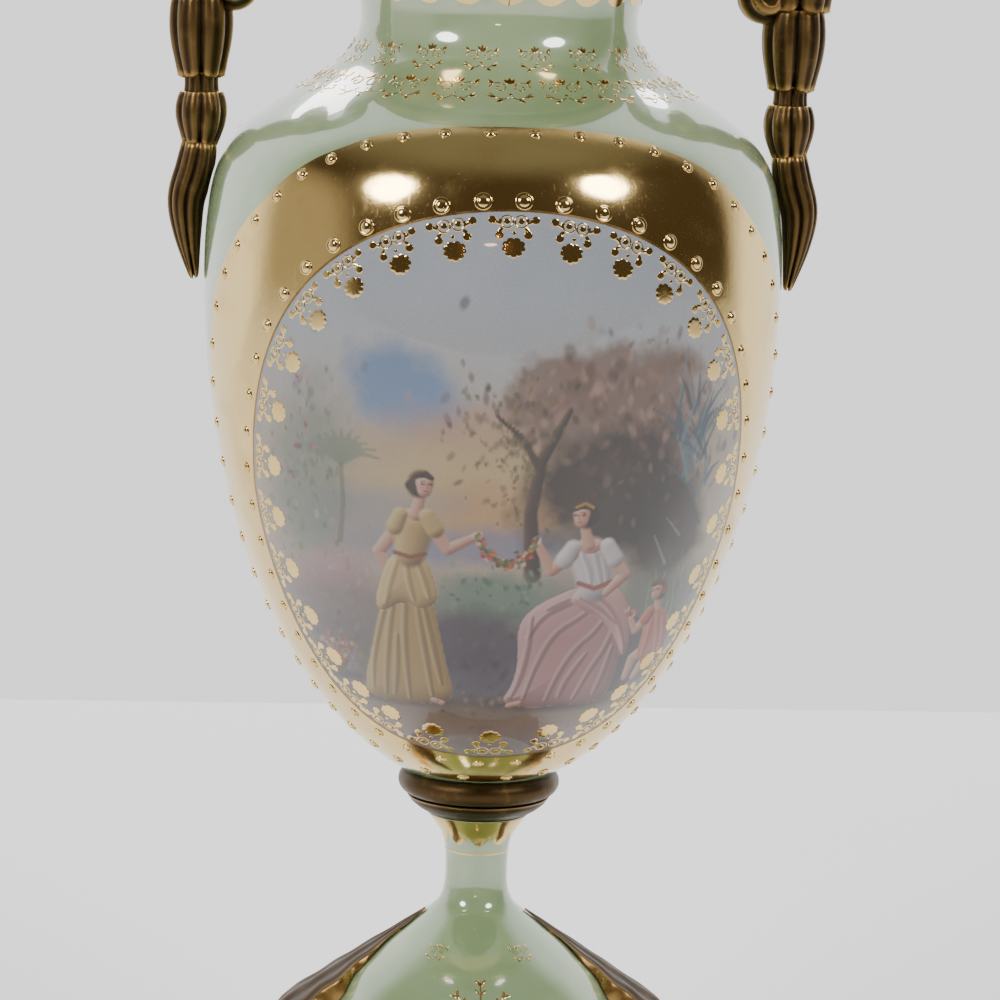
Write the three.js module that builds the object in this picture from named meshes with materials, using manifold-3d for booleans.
// Mantel urn: an ovoid vase of lustre porcelain on a domed porcelain foot, in cast-brass mounts.
// Millimetres, +Z up. The origin is on the table, under the middle of the base.
import * as THREE from 'three';
import { mergeVertices } from 'three/addons/utils/BufferGeometryUtils.js';
import Module from 'manifold-3d';

const wasm = await Module();
wasm.setup();

// ---- Driving dimensions ----------------------------------------------------------------------

const GAP = 0.3;                 // clearance between pieces that rest against each other
const BODY_WALL = 4.5;
const FOOT_WALL = 4.2;

// Brass base
const FEET_HEIGHT = 5;
const FEET_RADIUS = 11;
const PLINTH_HALF = 66;          // half the width of the square plinth
const PLINTH_CORNER = 13;        // radius of its hollowed corners
const PLINTH_HEIGHT = 12;
const PLINTH_BEVEL = 2;
const BASE_BORE = 36;            // radius of the open underside
const CUP_FLOOR = FEET_HEIGHT + PLINTH_HEIGHT - 1;     // sunk a little into the plinth
const CUP_TOP = 44;
const CUP_SIDE = [               // its outer side from the bottom up, as [radius, height]
  [59, CUP_FLOOR], [61, CUP_FLOOR + 3], [59, CUP_FLOOR + 6], [54.4, CUP_FLOOR + 8],
  [53.8, CUP_FLOOR + 15], [55.6, CUP_TOP - 4], [53.5, CUP_TOP],
];
const SEAT_CLEARANCE = 0.4;      // between the cup and the rim of the porcelain foot
const SEAT_LEDGE = 4;            // width and drop of the step inside the bore
// Each leaf's tip and the end of its straight upper edge as [radius, height], its half-width, and
// the steps along it. The tall leaves are at the sides, and the low ones at front and back.
const SIDE_LEAF = { tip: [15.8, 84.3], bend: [52.7, 59.6], width: 14, steps: 8 };
const FRONT_LEAF = { tip: [46.5, 57.5], bend: [52.7, 55], width: 12, steps: 5 };
const LEAF_BEND_HANDLE = [8.6, -5.4];  // from the bend to the first handle of the shoulder's curve
const LEAF_SHOULDER_HEIGHT = 42;
const LEAF_ROOT = [57, CUP_FLOOR];     // where the leaf meets the plinth
const LEAF_SHOULDER = 64.3;      // greatest radius of every leaf
const LEAF_RIBS = 3;             // ribs across a leaf
const LEAF_LOBES = 7;            // lobes along each of its edges
const LEAF_LOBE = 0.16;          // how far they stand out, as a share of its width
const LEAF_WIDEST = 0.62;        // share of its length where it reaches its full width
const LEAF_TIP_HALF = 1.2;
const LEAF_TIP_THICKNESS = 1;
const LEAF_DEPTH = 17;           // thickness that it gains on the way down, before the foot cuts it

// Porcelain foot
// Outlines are chains of Bezier curves in [radius, height]: a start, then for each curve its two
// handles and its end.
const FOOT_BOTTOM = 33;
const FOOT_RIM_RADIUS = 49.5;
const DOME_TOP = [16.9, 82.8];
const STEM_WAIST = [9.9, 97];
const STEM_TOP = [16, 115.7];
const FOOT_START = [FOOT_RIM_RADIUS, FOOT_BOTTOM];
const FOOT_CURVES = [
  [[FOOT_RIM_RADIUS, 61.3], [34.1, 70.1], DOME_TOP],
  [[12, 86.4], [STEM_WAIST[0], 88], STEM_WAIST],
  [[STEM_WAIST[0], 109], [11.1, 108.9], STEM_TOP],
];

// Brass collar
const COLLAR_BOTTOM = 116;
const COLLAR_TOP = 130;
const COLLAR_RADIUS = 25.2;
const COLLAR_FOOT = [15.8, COLLAR_BOTTOM];
const COLLAR_HANDLE = [21, 118.4];     // of the hollow moulding's curve
const COLLAR_CREASE = [22.4, 122];

// Porcelain body
const BODY_BOTTOM = 130.3;
const BELLY = [88.8, 283.6];     // greatest radius and its height
const SHOULDER = [65.7, 338];    // where the shoulder turns from convex to hollow
const NECK = [42.4, 363.1];
const LIP = [52, 388];
const LIP_TOP = 390;
const LIP_ROUNDING = 1.4;
const BODY_START = [25, BODY_BOTTOM];
const BODY_CURVES = [
  [[61.7, 151.2], [BELLY[0], 214.2], BELLY],
  [[BELLY[0], 321.8], [81.4, 327.5], SHOULDER],
  [[54.9, 345.1], [NECK[0], 350.2], NECK],
  [[NECK[0], 371.8], [48.5, 375.5], LIP],
];

// Rim mount
const RIM_BOTTOM = 383;
const RIM_TOP = 397;
const RIM_RADIUS = 58.5;
const RIM_MOUTH = 45.8;
const RIM_SKIRT = LIP[0] + 0.9;        // inner radius of the part that hangs outside the lip
const RIM_SIDE = [                     // from the skirt's bottom up and over to the mouth
  [RIM_SKIRT, RIM_BOTTOM], [RIM_RADIUS - 2.5, RIM_BOTTOM], [RIM_RADIUS - 0.5, RIM_BOTTOM + 3],
  [RIM_RADIUS - 2, RIM_BOTTOM + 6], [RIM_RADIUS, RIM_BOTTOM + 9.5], [RIM_RADIUS - 1.5, RIM_TOP - 1],
  [RIM_MOUTH + 3, RIM_TOP], [RIM_MOUTH, RIM_TOP - 2.5],
];

// Handles
const HANDLE_LOBES = 6;          // leaves round each husk
const HANDLE_GROOVE = 0.12;      // depth of the furrows between them, as a share of the radius
// The handle's course, as [radius, height], from the rim over the arch and down to the belly.
const HANDLE_COURSE = [
  [59.2, 389.5], [65, 390.8], [70.5, 396.5], [77, 404], [85, 405.5], [91, 399.5], [92, 388],
  [90.6, 372], [90.2, 352], [89.9, 334], [90.2, 324], [91.6, 315], [94, 306], [93.6, 296],
  [91.2, 281],
];
// The husks along it, from the rim on: length, radius at the root, swelling and radius at the tip.
// The last one takes the length that is left.
const HUSKS = [
  { name: 'arch foot', length: 15, root: 5.4, swell: 1.4, tip: 6.2 },
  { name: 'arch rise', length: 16, root: 5.4, swell: 1.8, tip: 6.8 },
  { name: 'arch top', length: 17, root: 5.6, swell: 2.0, tip: 7.4 },
  { name: 'knuckle', length: 26.5, root: 6.6, swell: 3.6, tip: 10.6 },
  { name: 'long husk', length: 24, root: 9.0, swell: 2.2, tip: 7.0 },
  { name: 'waist', length: 5.5, root: 5.8, swell: -0.4, tip: 6.0 },
  { name: 'short husk', length: 14.5, root: 6.6, swell: 2.4, tip: 5.2 },
  { name: 'tail leaf', length: 0, root: 5.4, swell: 2.6, tip: 1.2 },
];
const RING_SPACING = 6;          // greatest distance between the rings of a husk
const RINGS_MOST = 4;
const HUSK_EDGE = 0.03;          // share of its length by which each husk is drawn in at both ends

// The scroll under the arch lies across the handle.
const SCROLL_CENTRE = [81.2, 371.5];
const SCROLL_RADIUS = 8.6;
const SCROLL_HALF_WIDTH = 9;
const SCROLL_STEPS = [           // [share of the radius, share of the half-width]
  [0, -1], [0.6, -1], [0.7, -0.6], [1, -0.4], [1, 0.4], [0.7, 0.6], [0.6, 1], [0, 1],
];

// Facets: sides round the axis, and steps along each curve of an outline
const BODY_SIDES = 34;
const BODY_STEPS = 5;
const FOOT_SIDES = 28;
const FOOT_STEPS = 5;
const RING_SIDES = 24;
const SCROLL_SIDES = 8;
const PAD_SIDES = 12;

// ---- Materials -------------------------------------------------------------------------------

const porcelain = () => new THREE.MeshStandardMaterial({
  color: 0xa9bd94, roughness: 0.12, metalness: 0,
});
const brass = () => new THREE.MeshStandardMaterial({
  color: 0x6b4c22, roughness: 0.42, metalness: 1,
});

// ---- Solids ----------------------------------------------------------------------------------

// A closed three.js geometry as a manifold solid.
function solid(geometry) {
  const shape = geometry.clone();
  shape.deleteAttribute('normal');
  shape.deleteAttribute('uv');
  const merged = mergeVertices(shape, 1e-4);
  const index = merged.index.array;
  const triangles = [];
  for (let i = 0; i < index.length; i += 3) {
    const [a, b, c] = [index[i], index[i + 1], index[i + 2]];
    if (a !== b && b !== c && c !== a) triangles.push(a, b, c);
  }
  return new wasm.Manifold(new wasm.Mesh({
    numProp: 3,
    vertProperties: new Float32Array(merged.attributes.position.array),
    triVerts: new Uint32Array(triangles),
  }));
}

// A manifold solid as a named mesh.
function namedMesh(name, shape, material) {
  const mesh = shape.getMesh();
  const geometry = new THREE.BufferGeometry();
  geometry.setAttribute('position', new THREE.BufferAttribute(new Float32Array(mesh.vertProperties), 3));
  geometry.setIndex(new THREE.BufferAttribute(new Uint32Array(mesh.triVerts), 1));
  geometry.computeVertexNormals();
  const part = new THREE.Mesh(geometry, material);
  part.name = name;
  return part;
}

// A solid turned round the Z axis from an outline of [radius, height] points.
function turned(outline, sides) {
  const geometry = new THREE.LatheGeometry(outline, sides);
  geometry.rotateX(Math.PI / 2);
  return solid(geometry);
}

const point = (x, y) => new THREE.Vector2(x, y);
const points = (list) => list.map(([x, y]) => point(x, y));

// The points of an upward outline, moved towards the axis by a wall's thickness.
function wallInside(outline, wall) {
  return outline.map((here, i) => {
    const before = outline[Math.max(i - 1, 0)];
    const after = outline[Math.min(i + 1, outline.length - 1)];
    const along = after.clone().sub(before).normalize();
    return point(here.x - along.y * wall, here.y + along.x * wall);
  });
}

// ---- Outlines of the porcelain ---------------------------------------------------------------

// A chain of Bezier curves as points, with that many steps along each curve.
function curveChain(start, curves, steps) {
  const path = new THREE.Path();
  path.moveTo(...start);
  for (const [first, second, end] of curves) path.bezierCurveTo(...first, ...second, ...end);
  return path.getPoints(steps);
}

// The body's outside from its bottom edge up to the lip.
const bodyOutline = (steps) => curveChain(BODY_START, BODY_CURVES, steps);

// The foot's outside from its bottom rim up to the top of the stem.
const footOutline = (steps) => curveChain(FOOT_START, FOOT_CURVES, steps);

// ---- Pieces ----------------------------------------------------------------------------------

// The hollow vase, open at the mouth.
function makeBody() {
  const outside = bodyOutline(BODY_STEPS);
  const inside = wallInside(bodyOutline(BODY_STEPS - 1), BODY_WALL).reverse();
  return turned([
    point(0, BODY_BOTTOM),
    ...outside,
    point(LIP[0] - LIP_ROUNDING, LIP_TOP),
    ...inside,
    point(0, BODY_BOTTOM + BODY_WALL + 1),
  ], BODY_SIDES);
}

// What a turned piece takes up, with clearance round it, for shaping its neighbours.
function envelope(outline, sides) {
  const outside = wallInside(outline, -GAP);
  outside[0].y = outline[0].y - GAP;
  const top = outside[outside.length - 1].y;
  return turned([point(0, outside[0].y), ...outside, point(0, top)], sides);
}

// The domed foot, hollow from below, with a solid stem.
function makeFoot() {
  const dome = footOutline(FOOT_STEPS - 1).slice(0, FOOT_STEPS);
  const hollow = wallInside(dome, FOOT_WALL).reverse();
  hollow[hollow.length - 1].y = FOOT_BOTTOM;
  return turned([
    point(0, DOME_TOP[1] - 1),
    ...hollow,
    ...footOutline(FOOT_STEPS),
    point(0, STEM_TOP[1]),
  ], FOOT_SIDES);
}

// The turned collar: a hollow moulding below, a crease, and a half-round above.
function makeCollar() {
  const torus = (COLLAR_TOP - COLLAR_CREASE[1]) / 2;
  const path = new THREE.Path();
  path.moveTo(0, COLLAR_BOTTOM);
  path.lineTo(...COLLAR_FOOT);
  path.quadraticCurveTo(...COLLAR_HANDLE, ...COLLAR_CREASE);
  path.absarc(COLLAR_RADIUS - torus, COLLAR_TOP - torus, torus, -Math.PI / 2, Math.PI / 2, false);
  path.lineTo(0, COLLAR_TOP);
  return turned(path.getPoints(3), RING_SIDES);
}

// The rim ring: it rests on the lip, and its skirt hangs outside it.
function makeRim() {
  return turned(points([
    ...RIM_SIDE,
    [RIM_MOUTH, LIP_TOP + GAP],
    [RIM_SKIRT, LIP_TOP + GAP],
    RIM_SIDE[0],
  ]), RING_SIDES);
}

// The straight husk chain as a turned outline of [radius, distance along].
function huskOutline(total) {
  const outline = [point(0, 0)];
  let start = 0;
  for (const husk of HUSKS) {
    const length = husk.length || total - start;
    const rings = Math.min(RINGS_MOST, Math.ceil(length / RING_SPACING) + 1);
    for (let ring = 0; ring <= rings; ring++) {
      const u = ring / rings;
      const taper = husk.root + (husk.tip - husk.root) * u;
      const swelling = husk.swell * Math.sin(Math.PI * Math.pow(u, 0.85));
      const share = THREE.MathUtils.clamp(u, HUSK_EDGE, 1 - HUSK_EDGE);
      outline.push(point(taper + swelling, start + length * share));
    }
    start += length;
  }
  outline.push(point(0, total));
  return outline;
}

// Bends a solid that stands along Z onto a curve in the XZ plane, and furrows it into lobes.
function bendAlong(geometry, curve, total) {
  const position = geometry.attributes.position;
  const side = new THREE.Vector3(0, 1, 0);
  for (let i = 0; i < position.count; i++) {
    const across = new THREE.Vector2(position.getX(i), position.getY(i));
    const share = THREE.MathUtils.clamp(position.getZ(i) / total, 0, 1);
    const furrow = Math.pow(Math.sin(across.angle() * HANDLE_LOBES / 2), 2);
    across.multiplyScalar(1 - HANDLE_GROOVE * furrow);
    const along = curve.getTangentAt(share);
    const out = side.clone().cross(along);
    const place = curve.getPointAt(share);
    place.addScaledVector(out, across.x).addScaledVector(side, across.y);
    position.setXYZ(i, place.x, place.y, place.z);
  }
  return geometry;
}

// One handle, on the +X side: the husk chain with the scroll under the arch.
function makeHandle() {
  const curve = new THREE.CatmullRomCurve3(HANDLE_COURSE.map(([r, z]) => new THREE.Vector3(r, 0, z)));
  curve.arcLengthDivisions = 600;
  const total = curve.getLength();
  const chain = new THREE.LatheGeometry(huskOutline(total), HANDLE_LOBES * 2);
  chain.rotateX(Math.PI / 2);
  const scroll = new THREE.LatheGeometry(
    points(SCROLL_STEPS.map(([r, w]) => [r * SCROLL_RADIUS, w * SCROLL_HALF_WIDTH])), SCROLL_SIDES);
  scroll.translate(SCROLL_CENTRE[0], 0, SCROLL_CENTRE[1]);
  const casting = solid(bendAlong(chain, curve, total)).add(solid(scroll));
  return casting.subtract(envelope(bodyOutline(BODY_STEPS), BODY_SIDES));
}

// A leaf of the base, on the +X side. Its outer edge runs from the tip down to the plinth.
// It is widest at the shoulder, ribbed along its length, and lobed along its edges.
function makeLeaf({ tip, bend, width, steps }) {
  const shoulder = [LEAF_SHOULDER, LEAF_SHOULDER_HEIGHT];
  const bendHandle = [bend[0] + LEAF_BEND_HANDLE[0], bend[1] + LEAF_BEND_HANDLE[1]];
  const edge = new THREE.Path();
  edge.moveTo(...tip);
  edge.lineTo(...bend);
  edge.bezierCurveTo(...bendHandle, LEAF_SHOULDER, shoulder[1] + 10, ...shoulder);
  edge.bezierCurveTo(LEAF_SHOULDER, shoulder[1] - 12, 62, 22, ...LEAF_ROOT);
  const box = new THREE.BoxGeometry(1, 1, 1, 1, 2 * LEAF_RIBS, steps);
  const position = box.attributes.position;
  for (let i = 0; i < position.count; i++) {
    const t = 0.5 - position.getZ(i);          // 0 at the tip, 1 at the plinth
    const v = 2 * position.getY(i);            // -1 to 1 across the leaf
    const isBack = position.getX(i) < 0;
    const spine = edge.getPointAt(t);
    const along = edge.getTangentAt(t);
    const lobe = 1 + LEAF_LOBE * Math.sin(Math.PI * t * LEAF_LOBES) ** 2;
    const spread = Math.sin(Math.PI * Math.min(t, LEAF_WIDEST) / (2 * LEAF_WIDEST)) ** 1.3;
    const half = (LEAF_TIP_HALF + (width - LEAF_TIP_HALF) * spread) * lobe;
    const furrow = (0.25 + 1.1 * t) * (1 - Math.cos(v * Math.PI * LEAF_RIBS)) / 2;
    const droop = (half * v) ** 2 / (2 * LEAF_SHOULDER) + 1.6 * t * v * v;
    const thickness = isBack ? LEAF_TIP_THICKNESS + LEAF_DEPTH * t ** 1.6 : 0;
    const sunk = thickness + droop + furrow;
    position.setXYZ(i, spine.x + along.y * sunk, v * half, spine.y - along.x * sunk);
  }
  return solid(box);
}

// The square plinth with hollowed corners, open in the middle.
function makePlinth() {
  const half = PLINTH_HALF - PLINTH_BEVEL;
  const side = half - PLINTH_CORNER;
  const outline = new THREE.Shape();
  outline.moveTo(side, -half);
  outline.absarc(half, -half, PLINTH_CORNER, Math.PI, Math.PI / 2, true);
  outline.absarc(half, half, PLINTH_CORNER, -Math.PI / 2, Math.PI, true);
  outline.absarc(-half, half, PLINTH_CORNER, 0, -Math.PI / 2, true);
  outline.absarc(-half, -half, PLINTH_CORNER, Math.PI / 2, 0, true);
  outline.closePath();
  const bore = new THREE.EllipseCurve(0, 0, BASE_BORE + PLINTH_BEVEL, BASE_BORE + PLINTH_BEVEL);
  outline.holes.push(new THREE.Path(bore.getPoints(RING_SIDES)));
  const slab = new THREE.ExtrudeGeometry(outline, {
    depth: PLINTH_HEIGHT - 2 * PLINTH_BEVEL, bevelEnabled: true, bevelSize: PLINTH_BEVEL,
    bevelThickness: PLINTH_BEVEL, bevelSegments: 1, curveSegments: 3,
  });
  slab.translate(0, 0, FEET_HEIGHT + PLINTH_BEVEL);
  return solid(slab);
}

// The round cup that holds the porcelain foot, on its moulded ring.
function makeCup() {
  const seat = FOOT_RIM_RADIUS + SEAT_CLEARANCE;
  const ledge = FOOT_BOTTOM - GAP;
  return turned(points([
    [BASE_BORE, CUP_FLOOR],
    ...CUP_SIDE,
    [seat, CUP_TOP],
    [seat, ledge],
    [BASE_BORE + SEAT_LEDGE, ledge],
    [BASE_BORE, FOOT_BOTTOM - SEAT_LEDGE],
    [BASE_BORE, CUP_FLOOR],
  ]), RING_SIDES);
}

// The whole base is one casting.
function makeBase() {
  let base = makePlinth().add(makeCup());
  const footPlace = PLINTH_HALF - PLINTH_CORNER - FEET_RADIUS * 0.6;
  for (let quarter = 0; quarter < 4; quarter++) {
    const isSide = quarter % 2 === 0;
    const leaf = makeLeaf(isSide ? SIDE_LEAF : FRONT_LEAF);
    base = base.add(leaf.rotate([0, 0, 90 * quarter]));
    const pad = new THREE.CylinderGeometry(FEET_RADIUS, FEET_RADIUS - 2, FEET_HEIGHT + 1, PAD_SIDES);
    pad.rotateX(Math.PI / 2);
    pad.translate(footPlace, footPlace, (FEET_HEIGHT + 1) / 2);
    base = base.add(solid(pad).rotate([0, 0, 90 * quarter]));
  }
  return base.subtract(envelope(footOutline(FOOT_STEPS), FOOT_SIDES));
}

// ---- Assembly --------------------------------------------------------------------------------

const urn = new THREE.Group();
urn.add(
  namedMesh('brass_base', makeBase(), brass()),
  namedMesh('porcelain_foot', makeFoot(), porcelain()),
  namedMesh('brass_collar', makeCollar(), brass()),
  namedMesh('porcelain_body', makeBody(), porcelain()),
  namedMesh('rim_mount', makeRim(), brass()),
);
const handle = makeHandle();
const handleRight = namedMesh('handle_right', handle, brass());
const handleLeft = namedMesh('handle_left', handle, brass());
handleLeft.rotation.z = Math.PI;
urn.add(handleRight, handleLeft);

export default urn;
